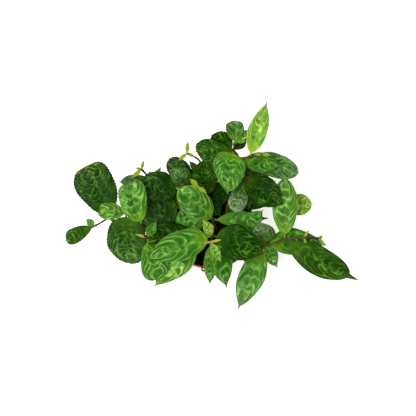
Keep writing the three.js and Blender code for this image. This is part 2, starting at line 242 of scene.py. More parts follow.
class GrowingTree(GroupTree):
    """A Geometry Nodes tree that grows pieces from plain meshes."""

    def __init__(self, name: str, sizes: Mapping[str, object]) -> None:
        """Start a tree.

        Args:
            name: The tree's name.
            sizes: The name and value of each input besides the geometry.
        """
        geometry = {"Geometry": Mesh}
        kinds = {label: type(size) for label, size in sizes.items()}
        super().__init__(name, "GeometryNodeTree", geometry | kinds, geometry)
        self.sizes = sizes

    def make(self, kind: str, *plugs: Plug, **named: Plug) -> Value:
        """Add a node of those whose types start with GeometryNode, and give its output."""
        return self.value(f"GeometryNode{kind}", *plugs, **named)

    def read(self, name: str, data_type: str = "FLOAT") -> Value:
        """A named attribute of the geometry."""
        return self.make("InputNamedAttribute", name, output="Attribute", data_type=data_type)

    def store(self, geometry: Value, name: str, value: Plug, data_type: str = "FLOAT") -> Value:
        """The geometry with a value kept on its points under a name."""
        return self.make("StoreNamedAttribute", geometry, Name=name, Value=value, data_type=data_type)

    def above(self, value: Value, limit: Plug) -> Value:
        """Whether a value is above a limit."""
        return self.value("FunctionNodeCompare", value, limit, output="Result", operation="GREATER_THAN")

    def split(self, geometry: Value, name: str) -> tuple[Value, Value]:
        """The geometry where a named number is 1, and where it is 0."""
        node = self.add("GeometryNodeSeparateGeometry", geometry, self.above(self.read(name), 0.5))
        return tuple(Value(self, output) for output in node.outputs)

    def random(self, low: Plug, high: Plug, seed: Value) -> Value:
        """A random vector for each point."""
        return self.value("FunctionNodeRandomValue", low, high, Seed=seed, data_type="FLOAT_VECTOR")

    def dress(self, geometry: Value, material: str) -> Value:
        """The geometry with the material that one of the inputs holds."""
        return self.make("SetMaterial", Geometry=geometry, Material=self.given(material))

    def join(self, *geometries: Value) -> Value:
        """Several geometries as one."""
        return self.make("JoinGeometry", list(geometries))

    def weld(self, geometry: Value, distance: float) -> Value:
        """The geometry with points that lie closer than a distance made one."""
        return self.make("MergeByDistance", Geometry=geometry, Distance=distance)

    def copies(self, points: Value, shape: Value, **named: Plug) -> Value:
        """Copies of a shape on points, as plain meshes."""
        placed = self.make("InstanceOnPoints", points, Instance=shape, **named)
        return self.make("RealizeInstances", placed)

    def stamp(self, count: Value, radius: Value, turn: Plug, shape: Value) -> Value:
        """Put copies of a shape on a level circle.

        Args:
            count: How many copies there are.
            radius: The circle's radius.
            turn: The first copy's angle in radians.
            shape: The shape.

        Returns:
            The copies as plain meshes, each turned by its own angle.
        """
        angle = self.make("InputIndex") * TAU / count + turn
        place = self.vector(self.cos(angle) * radius, self.sin(angle) * radius, 0.0)
        points = self.make("SetPosition", self.make("Points", count), Position=place)
        return self.copies(points, shape, Rotation=self.vector(0.0, 0.0, angle))

    def peg(self, radius: Value, height: Plug, middle: Plug, sides: int) -> Value:
        """An upright cylinder on the axis, with its middle at a height."""
        peg = self.make("MeshCylinder", sides, Radius=radius, Depth=height)
        return self.make("Transform", peg, Translation=self.vector(0.0, 0.0, middle))

    def cut(self, body: Value, tool: Value) -> Value:
        """A body with a tool's space cut away."""
        return self.make("MeshBoolean", body, tool, operation="DIFFERENCE", solver="MANIFOLD")

    def merge(self, *bodies: Value) -> Value:
        """Several bodies joined into one."""
        return self.make("MeshBoolean", [], list(bodies), operation="UNION", solver="MANIFOLD")

    def finish(self, geometry: Value) -> GrowingTree:
        """Give the tree its result, so that it is ready to grow pieces."""
        self.add("NodeGroupOutput", self.make("SetShadeSmooth", geometry))
        return self

    def grow(self, name: str, start: Mesh) -> Object:
        """Run the tree on a mesh and keep the result as a plain object.

        Args:
            name: The object's name.
            start: The mesh that the tree works from.

        Returns:
            An object at the origin with no modifier.
        """
        piece = shown(name, start)
        modifier = piece.modifiers.new("grow", "NODES")
        modifier.node_group = self.nodes
        for item in self.nodes.interface.items_tree:
            if item.in_out == "INPUT" and item.name in self.sizes:
                modifier[item.identifier] = self.sizes[item.name]
        bpy.context.view_layer.update()
        result = piece.evaluated_get(bpy.context.evaluated_depsgraph_get())
        mesh = bpy.data.meshes.new_from_object(result)
        mesh.name = name
        piece.modifiers.clear()
        piece.data = mesh
        return piece


def linear(code: str) -> tuple[float, ...]:
    """The linear colour that shaders use, for one written as #rrggbb as it looks on a screen."""
    shares = [int(code[i : i + 2], 16) / 255 for i in (1, 3, 5)]
    return (*((s / 12.92 if s < 0.04045 else ((s + 0.055) / 1.055) ** 2.4) for s in shares), 1.0)


class Coating(Tree):
    """A material under construction round one Principled BSDF."""

    def __init__(self, name: str, **plain: Plug) -> None:
        """Start a material.

        Args:
            name: The material's name.
            **plain: What the shader's sockets hold until something is linked to them.
        """
        self.material = bpy.data.materials.new(name)
        self.material.use_nodes = True
        super().__init__(self.material.node_tree)
        self.shader = self.nodes.nodes["Principled BSDF"]
        for key, number in plain.items():
            pick(self.shader.inputs, key).default_value = number

    def attribute(self, name: str, output: str = "Fac") -> Value:
        """One of the piece's own attributes."""
        return self.value("ShaderNodeAttribute", output=output, attribute_name=name)

    def place(self) -> Value:
        """The object coordinates, in metres."""
        return self.value("ShaderNodeTexCoord", output="Object")

    def blend(self, share: Plug, first: Value, second: Union[Value, str]) -> Value:
        """A colour between two, by a share from 0 to 1."""
        last = linear(second) if isinstance(second, str) else second
        return self.value("ShaderNodeMix", Factor=share, A=first, B=last, output="Result", data_type="RGBA")

    def ramp(self, share: Value, colours: str, positions: Sequence[float] = (0.0, 0.5, 1.0)) -> Value:
        """A colour read from a ramp.

        Args:
            share: Where on the ramp, from 0 to 1.
            colours: The stops' colours.
            positions: Where the stops are.

        Returns:
            The colour.
        """
        node = self.add("ShaderNodeValToRGB", share)
        stops = node.color_ramp.elements
        while len(stops) < len(positions):
            stops.new(0.5)
        for stop, position, code in zip(stops, positions, colours.split()):
            stop.position = position
            stop.color = linear(code)
        return Value(self, node.outputs["Color"])

    def group(self, nodes: NodeTree, *plugs: Plug, **named: Plug) -> list[Value]:
        """The outputs of a shader group whose inputs hold the plugs."""
        node = self.add("ShaderNodeGroup", *plugs, node_tree=nodes, **named)
        return [Value(self, output) for output in node.outputs]

    def relief(self, height: Value, depth: float) -> Value:
        """The normal of a surface that stands out by a height from 0 to 1, times a depth in metres."""
        return self.value("ShaderNodeBump", Height=height, Distance=depth)

    def finish(
        self, colour: Value, roughness: Optional[Value] = None, normal: Optional[Value] = None
    ) -> Material:
        """Link what changes over the surface.

        Args:
            colour: Its colour.
            roughness: Its roughness, where that changes.
            normal: Its normal, where it has a relief.

        Returns:
            The material.
        """
        for name, value in (("Base Color", colour), ("Roughness", roughness), ("Normal", normal)):
            if value:
                self.nodes.links.new(value.socket, self.shader.inputs[name])
        return self.material


# ---- finishes ----

NET_CENTRE = 0.8
NET_LOBE = 0.32
NET_TILT = 0.45
NET_SPREAD = 0.23
NET_ROUNDNESS = 1.45
NET_MARGIN = (0.84, 0.97)
NET_SWAY = 0.14
NET_SHIVER = 0.06
NET_STRETCH = 0.55


def leaf_net_group() -> NodeTree:
    """Build the shader group that draws a leaf's pale net: uneven rings round a point near its tip.

    The rings bulge towards the leaf's base in two lobes, one on each side of the midrib, and their arms
    run out towards its edges. Cell walls along the rings and across them make the net.

    Returns:
        A group with inputs for the place on the leaf, its seed and its count of rings, and for how much
        the lines glow. It puts out the net and a soft cloud that goes with it.
    """
    inputs = dict.fromkeys(("Across", "Lateral", "Along", "Seed", "Rings", "Glow"), float)
    tree = GroupTree("leaf net", "ShaderNodeTree", inputs, dict.fromkeys(("Net", "Cloud"), float))
    across, lateral, along, seed, rings, young = (tree.given(name) for name in inputs)

    place = tree.vector(lateral, along, seed * 7)
    sway = tree.noise(place, 5, 1) - 0.5
    shiver = tree.noise(place, 14, 2) - 0.5
    reach = tree.size(across)
    lobe = reach - NET_LOBE
    rise = tree.size(NET_CENTRE - along + lobe * lobe * NET_TILT)
    spread = reach**1.4 * NET_SPREAD
    distance = (rise**NET_ROUNDNESS + spread**NET_ROUNDNESS) ** (1 / NET_ROUNDNESS)
    distance = distance + sway * NET_SWAY + shiver * NET_SHIVER
    phase = distance * rings + seed * 5
    turn = tree.math("ARCTAN2", lateral, rise) * distance * rings
    wall = tree.value(
        "ShaderNodeTexVoronoi",
        Vector=tree.vector(phase, turn * NET_STRETCH + sway * 1.5 + seed * 11, 0.0),
        Scale=1.0,
        Randomness=0.7,
        feature="DISTANCE_TO_EDGE",
        voronoi_dimensions="2D",
        output="Distance",
    )
    width = tree.smooth(tree.noise(place, 7, 1), 0.3, 0.7)
    line = (1 - tree.smooth(wall, 0.0, width * 0.14 + 0.05)) * (width * 0.6 + 0.4)
    glow = (1 - tree.smooth(wall, 0.0, 0.4)) * (young * 0.12 + 0.08)
    ring = 1 - tree.smooth(tree.math("PINGPONG", phase, 0.5), 0.0, width * 0.1 + 0.06)
    ring = ring * tree.smooth(tree.noise(place, 9, 1), 0.4, 0.6)
    streak = tree.noise(tree.vector(phase * 2.2, turn * 0.7, seed * 3), 1.0, 3)
    streak = tree.smooth(streak, 0.28, 0.72)
    net = tree.math("MAXIMUM", line, ring * 0.8) * (streak * 0.55 + 0.55) + glow
    net = net * (1 - tree.smooth(reach, *NET_MARGIN) * 0.7)
    tree.add("NodeGroupOutput", net, tree.noise(place, 8, 2) * 0.6 + streak * 0.4)
    return tree.nodes


def speckle_group() -> NodeTree:
    """Build the shader group for fine grain and grime on an object.

    Returns:
        A group with the inputs Place, Fine and Coarse, and the outputs Grain and Grime.
    """
    inputs = {"Place": Vector, "Fine": float, "Coarse": float}
    tree = GroupTree("speckle", "ShaderNodeTree", inputs, dict.fromkeys(("Grain", "Grime"), float))
    place, fine, coarse = (tree.given(name) for name in inputs)
    tree.add("NodeGroupOutput", tree.noise(place, fine, 3), tree.noise(place, coarse, 4))
    return tree.nodes


@dataclass(frozen=True)
class LeafFinish:
    """A waxy leaf: dark green above with a pale net, mottled maroon beneath, yellow-green while young."""

    ages: Sequence[float] = (0.0, 0.1, 0.2, 0.35, 0.5, 0.65, 0.8, 1.0)
    dark: str = "#042500 #103001 #1f400b #23560d #36671d #3a6710 #5c8e21 #8aa41c"
    pale: str = "#2c5614 #407216 #5e8e28 #68a238 #80b858 #9ccb60 #aed870 #ccd44e"
    beneath: tuple[str, str] = ("#4a2a2a", "#5f7a3c")
    margin: str = "#12300a"
    base: tuple[str, str] = ("#74a012", "#9cb41a")
    # painted sheen: the pale grey that a leaf's sheen mixes in as a painted highlight
    painted_sheen: str = "#a6bc90"
    dry: str = "#b5ab5a"
    vein_depth: float = 0.6 * MM
    roughness: float = 0.4
    gloss: float = 0.02

    def material(self, net: NodeTree) -> Material:
        """Build the leaf's material.

        Args:
            net: The shader group that draws the pale net.

        Returns:
            The material.
        """
        coat = Coating("leaf", Roughness=self.roughness, Specular_IOR_Level=self.gloss)
        lateral, along, seed = coat.parts(coat.attribute("blade", "Vector"))
        names = ("age", "under", "across", "rings", "sheen")
        age, under, across, rings, sheen = (coat.attribute(name) for name in names)
        edge = coat.size(across)
        young = coat.smooth(age, 0.1, 0.5)
        lines, cloud = coat.group(net, across, lateral, along, seed, rings, young)
        fine_noise = coat.noise(coat.vector(lateral * 30, along * 30, seed * 9), 1.0, 2)
        shade = age + (cloud - 0.5) * (young * 0.3 + 0.3) + (fine_noise - 0.5) * 0.16
        ground = coat.ramp(shade, self.dark, self.ages)
        pale = coat.ramp(shade + (along - 0.55) * 0.3, self.pale, self.ages)
        grown_up = 1 - coat.smooth(age, 0.8, 1.0)
        top = coat.blend(lines * (grown_up * 0.7 + 0.2), ground, pale)
        stalk = (1 - coat.smooth(along + (cloud - 0.5) * 0.3, 0.06, 0.34)) * (young * 0.4 + 0.15)
        base = coat.blend(coat.smooth(age, 0.6, 0.8), linear(self.base[0]), self.base[1])
        top = coat.blend(stalk, top, base)
        # painted sheen: pale grey painted over patches of the leaf as a highlight, stronger towards its tip
        # and on its net lines
        painted_sheen_mask = coat.smooth(fine_noise * 0.7 + cloud * 0.3 + (along - 0.5) * 0.4, 0.4, 0.75)
        top = coat.blend(sheen * (painted_sheen_mask * (lines * 0.8 + 0.6) + 0.05), top, self.painted_sheen)
        midrib = 1 - coat.smooth(coat.size(lateral), 0.002, 0.012)
        top = coat.blend(midrib * 0.25, top, pale)
        top = coat.blend(coat.smooth(edge, 0.93, 1.0) * (0.6 - young * 0.6), top, self.margin)
        # painted light: a thin pale rim along young leaves' edges, where light catches them
        top = coat.blend(coat.smooth(edge, 0.9, 0.98) * young * (cloud * 0.9), top, pale)
        top = coat.blend(coat.smooth(along, 0.95, 1.0) * (cloud * 1.4 - 0.2), top, self.dry)
        blotch = coat.smooth(cloud + lines * 0.2, 0.38, 0.66)
        back = coat.blend(blotch, linear(self.beneath[0]), self.beneath[1])
        back = coat.blend(coat.smooth(age, 0.7, 1.0) * 0.7, back, ground)
        colour = coat.blend(coat.smooth(age, 1.0, 1.15), coat.blend(under, top, back), self.dry)
        roughness = (fine_noise - 0.5) * 0.16 + under * 0.18 + self.roughness
        sunk = coat.smooth(coat.math("PINGPONG", edge * 2.4 - along * 15, 0.5), 0.0, 0.2)
        height = sunk * 0.2 + cloud * 0.6 - lines * 0.5 - midrib * 0.4
        return coat.finish(colour, roughness, coat.relief(height, self.vein_depth))


@dataclass(frozen=True)
class StemFinish:
    """A stem: brown-olive bark with fine streaks, darker and maroon near its tip."""

    bark: str = "#453312 #3a270d #34150e"
    green: str = "#4d6a1c"
    fine: float = 1400.0
    coarse: float = 160.0
    roughness: float = 0.5
    gloss: float = 0.12
    depth: float = 0.25 * MM

    def material(self, speckle: NodeTree) -> Material:
        """Build the stem's material.

        Args:
            speckle: The shader group for grain and grime.

        Returns:
            The material.
        """
        coat = Coating("stem", Roughness=self.roughness, Specular_IOR_Level=self.gloss)
        grain, grime = coat.group(speckle, Place=coat.place(), Fine=self.fine, Coarse=self.coarse)
        shoot = coat.attribute("shoot")
        bark = coat.ramp(shoot + (grime - 0.5) * 0.5, self.bark)
        fresh = coat.smooth(grime, 0.45, 0.7) * (1 - shoot)
        colour = coat.blend(fresh * 0.7, bark, self.green)
        roughness = grain * 0.25 + (self.roughness - 0.12)
        return coat.finish(colour, roughness, coat.relief(grain, self.depth))


@dataclass(frozen=True)
class PotFinish:
    """Thin terracotta plastic: a soft gloss, faint mould grain, paler scuffs and peat dust, painted shade on
    the lugs.
    """

    body: str = "#571a07 #78290b #903714"
    dust: str = "#5c4636"
    scuff: str = "#b8694a"
    # painted shade: the dark brown laid over the lugs
    grime: str = "#2e140a"
    scuff_grain: float = 700
    scuff_stretch: Point = (1.0, 1.0, 0.08)
    dusty_height: float = 14 * MM
    lug_inside: float = 52.8 * MM
    fine: float = 1800.0
    coarse: float = 55.0
    roughness: float = 0.42
    gloss: float = 0.15
    depth: float = 0.12 * MM

    def material(self, speckle: NodeTree) -> Material:
        """Build the pot's material.

        Args:
            speckle: The shader group for grain and grime.

        Returns:
            The material.
        """
        coat = Coating("pot_plastic", Roughness=self.roughness, Specular_IOR_Level=self.gloss)
        place = coat.place()
        grain, grime = coat.group(speckle, Place=place, Fine=self.fine, Coarse=self.coarse)
        x, y, height = coat.parts(place)
        low = 1 - coat.smooth(height, 0.0, self.dusty_height)
        dusty = coat.smooth(grime + low * 0.14, 0.56, 0.74) * 0.5
        colour = coat.blend(dusty, coat.ramp(grime * 0.8 + grain * 0.2, self.body), self.dust)
        drawn = coat.combine("MULTIPLY", place, self.scuff_stretch)
        streaks = coat.noise(drawn, self.scuff_grain, 2)
        scuffs = coat.smooth(streaks + (grime - 0.5) * 0.3, 0.66, 0.76) * 0.35
        colour = coat.blend(scuffs, colour, self.scuff)
        # painted shade: the lugs, which stand out past the rim, are darkened
        lug_shade = coat.smooth((x * x + y * y) ** 0.5, self.lug_inside, self.lug_inside + 1 * MM)
        colour = coat.blend(lug_shade * 0.85, colour, self.grime)
        roughness = dusty * 0.5 + scuffs * 0.3 + (grain - 0.5) * 0.2 + self.roughness
        return coat.finish(colour, roughness, coat.relief(grain + scuffs * 0.5, self.depth))


@dataclass(frozen=True)
class PeatFinish:
    """Damp peat: near black, with brown crumbs and paler dry specks."""

    damp: str = "#070504 #110c08 #2c1f13"
    dampness: Sequence[float] = (0.0, 0.55, 1.0)
    fine: float = 900.0
    coarse: float = 190.0
    roughness: float = 0.92
    gloss: float = 0.08
    depth: float = 0.9 * MM

    def material(self, speckle: NodeTree) -> Material:
        """Build the peat's material.

        Args:
            speckle: The shader group for grain and grime.

        Returns:
            The material.
        """
        coat = Coating("peat", Roughness=self.roughness, Specular_IOR_Level=self.gloss)
        grain, grime = coat.group(speckle, Place=coat.place(), Fine=self.fine, Coarse=self.coarse)
        colour = coat.ramp(grain * 0.7 + grime * 0.35, self.damp, self.dampness)
        roughness = grime * 0.25 + (self.roughness - 0.2)
        return coat.finish(colour, roughness, coat.relief(grain + grime, self.depth))


@dataclass(frozen=True)
class FibreFinish:
    """A dry root or bark fibre in the peat."""

    tan: str = "#3f2c19 #8c6b42"
    fine: float = 1500.0
    coarse: float = 260.0
    roughness: float = 0.8
    depth: float = 0.2 * MM

    def material(self, speckle: NodeTree) -> Material:
        """Build the fibre's material.

        Args:
            speckle: The shader group for grain and grime.

        Returns:
            The material.
        """
        coat = Coating("fibre", Roughness=self.roughness)
        grain, grime = coat.group(speckle, Place=coat.place(), Fine=self.fine, Coarse=self.coarse)
        colour = coat.ramp(grime, self.tan, (0.0, 1.0))
        return coat.finish(colour, normal=coat.relief(grain, self.depth))


# ---- pot and peat ----


def meshed(work: bmesh.types.BMesh, name: str) -> Mesh:
    """Keep what has been built as a mesh.

    Args:
        work: What has been built. It can't be used again.
        name: The mesh's name.

    Returns:
        The mesh.
    """
    mesh = bpy.data.meshes.new(name)
    work.to_mesh(mesh)
    work.free()
    return mesh


def turned(name: str, profile: Profile, segments: int) -> Mesh:
    """Turn a profile round the Z axis.

    Args:
        name: The mesh's name.
        profile: Radius and height pairs in millimetres, from the axis outside up and inside back to it.
        segments: How many facets go round.

    Returns:
        A closed mesh in metres with its faces outwards.
    """
    work = bmesh.new()
    rings = []
    for radius, height in profile:
        angles = [TAU * i / segments for i in range(segments if radius > 0 else 1)]
        places = [(radius * MM * math.cos(a), radius * MM * math.sin(a), height * MM) for a in angles]
        rings.append([work.verts.new(place) for place in places])
    for below, above in zip(rings, rings[1:]):
        for i in range(segments):
            corners = [below[i % len(below)], below[(i + 1) % len(below)]]
            corners += [above[(i + 1) % len(above)], above[i % len(above)]]
            work.faces.new(list(dict.fromkeys(corners)))
    bmesh.ops.recalc_face_normals(work, faces=work.faces)
    return meshed(work, name)


def rounded(profile: Profile, cut: float, steps: int = 4) -> Profile:
    """Round the corners of a profile that are off the axis.

    Args:
        profile: The profile's points.
        cut: How far from a corner its curve starts, in millimetres.
        steps: How many points make each curve.

    Returns:
        The profile with a short curve in place of each corner.
    """
    points = [Vector(point) for point in profile]
    result = [points[0]]
    for before, corner, after in zip(points, points[1:], points[2:]):
        reach = min(cut, (before - corner).length / 2.2, (after - corner).length / 2.2)
        first = corner + (before - corner).normalized() * reach
        last = corner + (after - corner).normalized() * reach
        for i in range(steps + 1):
            share = i / steps
            mixed = first * (1 - share) ** 2 + corner * 2 * share * (1 - share) + last * share**2
            result.append(mixed)
    return [tuple(point) for point in [*result, points[-1]]]


def placed(piece: Object, node: str, slot: str) -> Object:
    """Put a finished piece in place of its solid.

    Args:
        piece: The finished piece.
        node: The solid that it stands for.
        slot: The record's material slot for the piece's finish. Not used.

    Returns:
        The piece.
    """
    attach(piece, BODY)
    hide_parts(node)
    log.info("%s: %d faces", piece.name, len(piece.data.polygons))
    return piece


@dataclass
class Pot:
    """The plastic pot: a tapered body with a stepped band, drain holes in its floor and lugs on its band."""

    height: float = 90
    rim_radius: float = 52.5
    foot_radius: float = 37
    foot_ring: float = 4
    hollow: float = 0.6
    wall: float = 1.4
    band: float = 11
    band_step: float = 2.2
    corner: float = 0.6
    weld: float = 0.02
    segments: int = 128
    peg_sides: int = 40
    hole_sides: int = 24
    drains: int = 6
    drain_radius: float = 4
    drain_circle: float = 24
    lugs: int = 4
    first_lug: float = -99
    lug_radius: float = 2.7
    lug_reach: float = 1.7
    lug_hole: float = 1.1
    lug_thickness: float = 2.2
    lug_top: float = 88

    def profile(self) -> Profile:
        """Draw the pot's section.

        Returns:
            Its points in millimetres, from the middle of the underside round to the middle of the floor.
        """
        foot = self.height - self.band
        top = self.height - 0.1
        under = self.rim_radius - self.band_step
        ring = self.foot_radius - self.foot_ring
        points = [
            (0, self.hollow),
            (ring - 1, self.hollow),
            (ring, 0),
            (self.foot_radius - 1, 0),
            (self.foot_radius, 1),
            (under, foot),
            (self.rim_radius, foot + 1),
            (self.rim_radius, top),
            (self.rim_radius - self.wall, top),
            (self.rim_radius - self.wall, foot + 2.2),
            (under - self.wall, foot + 0.8),
            (self.foot_radius - self.wall, self.wall),
            (0, self.wall),
        ]
        return rounded(points, self.corner)

    def tree(self, plastic: Material) -> GrowingTree:
        """Build the tree that pierces the floor and joins the lugs to the band.

        Args:
            plastic: The pot's material.

        Returns:
            A tree whose inputs are the counts and sizes of the drains and lugs.
        """
        sizes = {
            "Drains": self.drains,
            "Drain Radius": self.drain_radius * MM,
            "Drain Circle": self.drain_circle * MM,
            "Lugs": self.lugs,
            "First Lug": math.radians(self.first_lug),
            "Lug Radius": self.lug_radius * MM,
            "Lug Hole": self.lug_hole * MM,
            "Lug Thickness": self.lug_thickness * MM,
            "Lug Circle": (self.rim_radius + self.lug_reach) * MM,
            "Lug Root": (self.lug_reach + self.wall / 2) * MM,
            "Lug Height": (self.lug_top - self.lug_thickness / 2) * MM,
            "Plastic": plastic,
        }
        tree = GrowingTree("pot fittings", sizes)
        drains, drain_radius, drain_circle, lugs, first, radius, hole, thick, circle, root, height = (
            tree.given(name) for name in sizes if name != "Plastic"
        )
        drills = tree.stamp(drains, drain_circle, 0.0, tree.peg(drain_radius, 0.02, 0.0, self.peg_sides))
        pierced = tree.cut(tree.given("Geometry"), drills)

        neck = tree.make("MeshCube", tree.vector(root, radius * 2, thick))
        neck = tree.make("Transform", neck, Translation=tree.vector(root / -2, 0.0, height))
        tab = tree.merge(tree.peg(radius, thick, height, self.peg_sides), neck)
        tab = tree.cut(tab, tree.peg(hole, thick * 2, height, self.hole_sides))
        whole = tree.merge(pierced, tree.stamp(lugs, circle, first, tab))
        return tree.finish(tree.dress(tree.weld(whole, self.weld * MM), "Plastic"))

    def build(self, plastic: Material) -> Object:
        """Build the pot in place of its solid, with its material."""
        body = turned("pot_body", self.profile(), self.segments)
        return placed(self.tree(plastic).grow("moulded_pot", body), "pot", "pot_plastic")


@dataclass
class Peat:
    """The peat: a lumpy mound that fills the pot, with loose crumbs and dry fibres on it."""

    level: float = 81
    edge: float = 78.5
    crown: float = 2
    bump: float = 1.3
    fine_grit: float = 1.6
    fine_grain: float = 420
    coarse_grit: float = 2.2
    coarse_grain: float = 130
    settled: float = 1.5
    radius: float = 48.5
    foot_radius: float = 35.2
    foot: float = 1.8
    rings: int = 44
    segments: int = 112
    crumb_density: float = 190_000.0
    crumb_size: float = 1.5
    crumb_sizes: tuple[float, float] = (0.35, 1.1)
    crumb_grain: float = 900.0
    crumb_dents: float = 0.7
    fibre_density: float = 9_000.0
    fibre_length: float = 9
    fibre_radius: float = 0.28
    fibre_sizes: tuple[float, float] = (0.5, 1.3)
    fibre_curl: float = 1.4
    fibre_arch: float = 0.9
    fibre_points: int = 9
    fibre_sides: int = 5
    fibre_lift: float = 0.7
    tilt: float = 0.35
    seed: int = 4

    @staticmethod
    def lumps(x: float, y: float) -> float:
        """How high the peat's lumps stand at a place, as a share of the largest."""
        return math.sin(x / 4.1 + 1) * math.cos(y / 3.7) + 0.6 * math.sin(x / 2.3 - y / 2.9)

    def mound(self) -> Mesh:
        """Build the peat's body, with a lumpy top.

        Returns:
            A closed mesh whose "inward" attribute says how far a place on the top is from the wall.
        """
        profile = [(0, self.foot), (self.foot_radius, self.foot), (self.radius, self.edge)]
        for i in range(1, self.rings):
            radius = self.radius * (1 - i / self.rings)
            profile.append((radius, self.level - self.crown * (radius / self.radius) ** 2))
        profile.append((0, self.level))
        mesh = turned("peat_body", profile, self.segments)
        inward = mesh.attributes.new("inward", "FLOAT", "POINT")
        for vertex, item in zip(mesh.vertices, inward.data):
            x, y, z = vertex.co / MM
            if z > self.edge + 0.05:
                item.value = (self.radius - math.hypot(x, y)) * MM
                vertex.co.z += self.bump * self.lumps(x, y) * MM
        return mesh

    def tree(self, peat: Material, fibre: Material) -> GrowingTree:
        """Build the tree that roughens the mound and strews crumbs and fibres on it.

        Args:
            peat: The material of the mound and crumbs.
            fibre: The material of the fibres.

        Returns:
            A tree with inputs for the density, size and material of the crumbs and fibres.
        """
        sizes = {
            "Crumb Density": self.crumb_density,
            "Crumb Size": self.crumb_size * MM,
            "Fibre Density": self.fibre_density,
            "Fibre Size": self.fibre_length * MM,
            "Peat": peat,
            "Fibre": fibre,
            "Seed": self.seed,
        }
        tree = GrowingTree("strewn peat", sizes)
        loose = tree.smooth(tree.read("inward"), 0.0, self.settled * MM)
        place = tree.make("InputPosition")
        fine = tree.noise(place, self.fine_grain, 2) - 0.5
        coarse = tree.noise(place, self.coarse_grain, 1) - 0.5
        grit = fine * self.fine_grit * MM + coarse * self.coarse_grit * MM
        offset = tree.vector(0.0, 0.0, grit * loose)
        mound = tree.make("SetPosition", tree.given("Geometry"), Offset=offset)

        size = tree.given("Crumb Size")
        ball = tree.make("MeshIcoSphere", Radius=size / 2, Subdivisions=2)
        noise = tree.value("ShaderNodeTexNoise", Scale=self.crumb_grain, output="Color")
        dents = tree.scale(tree.combine("SUBTRACT", noise, (0.5,) * 3), size * self.crumb_dents)
        crumb = tree.make("SetPosition", ball, Offset=dents)
        crumbs = self.strew(tree, mound, crumb, "Crumb", *self.crumb_sizes)

        line = tree.make("CurvePrimitiveLine", End=tree.vector(tree.given("Fibre Size"), 0.0, 0.0))
        line = tree.make("ResampleCurve", Curve=line, Count=self.fibre_points)
        along = tree.make("SplineParameter")
        curl = tree.sin(along * 4.2) * self.fibre_curl * MM
        arch = tree.sin(along * math.pi) * self.fibre_arch * MM
        line = tree.make("SetPosition", line, Offset=tree.vector(0.0, curl, arch))
        radius = self.fibre_radius * MM
        ring = tree.make("CurvePrimitiveCircle", Resolution=self.fibre_sides, Radius=radius)
        fibre = tree.make("CurveToMesh", line, ring, Scale=1.1 - along, Fill_Caps=True)
        fibres = self.strew(tree, mound, fibre, "Fibre", *self.fibre_sizes)
        fibres = tree.make("SetPosition", fibres, Offset=(0.0, 0.0, self.fibre_lift * MM))

        earth = tree.dress(tree.join(mound, crumbs), "Peat")
        return tree.finish(tree.join(earth, tree.dress(fibres, "Fibre")))

    def strew(
        self, tree: GrowingTree, mound: Value, shape: Value, kind: str, low: float, high: float
    ) -> Value:
        """Scatter copies of a shape on the mound's top, clear of the wall.

        Args:
            tree: The tree.
            mound: The surface.
            shape: What is scattered.
            kind: What the inputs for its density and size start with.
            low: The smallest copy, as a share of the shape.
            high: The largest.

        Returns:
            The copies as plain meshes.
        """
        seed, density = tree.given("Seed"), tree.given(f"{kind} Density")
        clear = tree.above(tree.read("inward"), tree.given(f"{kind} Size") * high)
        plugs = {"Selection": clear, "Density": density, "Seed": seed}
        points = tree.make("DistributePointsOnFaces", mound, **plugs)
        turn = tree.random((-self.tilt, -self.tilt, 0.0), (self.tilt, self.tilt, TAU), seed + 1)
        scale = tree.random((low,) * 3, (high,) * 3, seed + 2)
        return tree.copies(points, shape, Rotation=turn, Scale=scale)

    def build(self, peat: Material, fibre: Material) -> Object:
        """Build the peat in place of its solid, with its own and its fibres' material."""
        return placed(self.tree(peat, fibre).grow("crumbly_peat", self.mound()), "soil", "peat")


# ---- leafy stems ----

BUD_LENGTH = 20
DEGREE = math.radians(1)


class Grade(Enum):
    """How finely a leaf is divided, by its length."""

    BUD = "bud"
    FULL = "full"


@dataclass(frozen=True)
class Leaf:
    """One leaf: the stem's point that it grows from, its pose in degrees and its size in millimetres.

    Its midrib leaves at rise degrees above level towards heading (0 is +X, 90 is +Y), bends down by droop
    degrees along its length, and to the left by bend of its length. A leaf with less swell is broader at
    its base and one with less taper is blunter. Drip is the share of it that is drawn out as a tip, and
    tooth is how deep its edge is cut. Rings says how many pale rings its length would hold, and
    sheen how strongly a pale grey sheen, a painted highlight, lies on it. Age is 0 for an old dark leaf,
    1 for one that has just opened, and more for a dry one.
    """

    at: int
    heading: float
    rise: float
    droop: float
    length: float
    width: float
    age: float
    bend: float = 0.0
    swell: float = 0.7
    taper: float = 0.9
    drip: float = 0.05
    tooth: float = 0.35
    rings: float = 10
    sheen: float = 0.0

    @property
    def grade(self) -> Grade:
        """Whether the leaf is fully divided."""
        return Grade.BUD if self.length < BUD_LENGTH else Grade.FULL


LEAF_UNITS = dict.fromkeys(("bend", "swell", "taper", "drip", "rings", "sheen", "age"), 1.0)
LEAF_UNITS |= dict.fromkeys(("heading", "rise", "droop"), DEGREE)
LEAF_UNITS |= dict.fromkeys(("length", "width", "tooth"), MM)


@dataclass(frozen=True)
class LeafyStem:
    """One stem, from its foot in the peat through its points, with the leaves on them, in millimetres."""

    name: str
    foot: tuple[float, float]
    points: tuple[Point, ...]
    leaves: tuple[Leaf, ...]


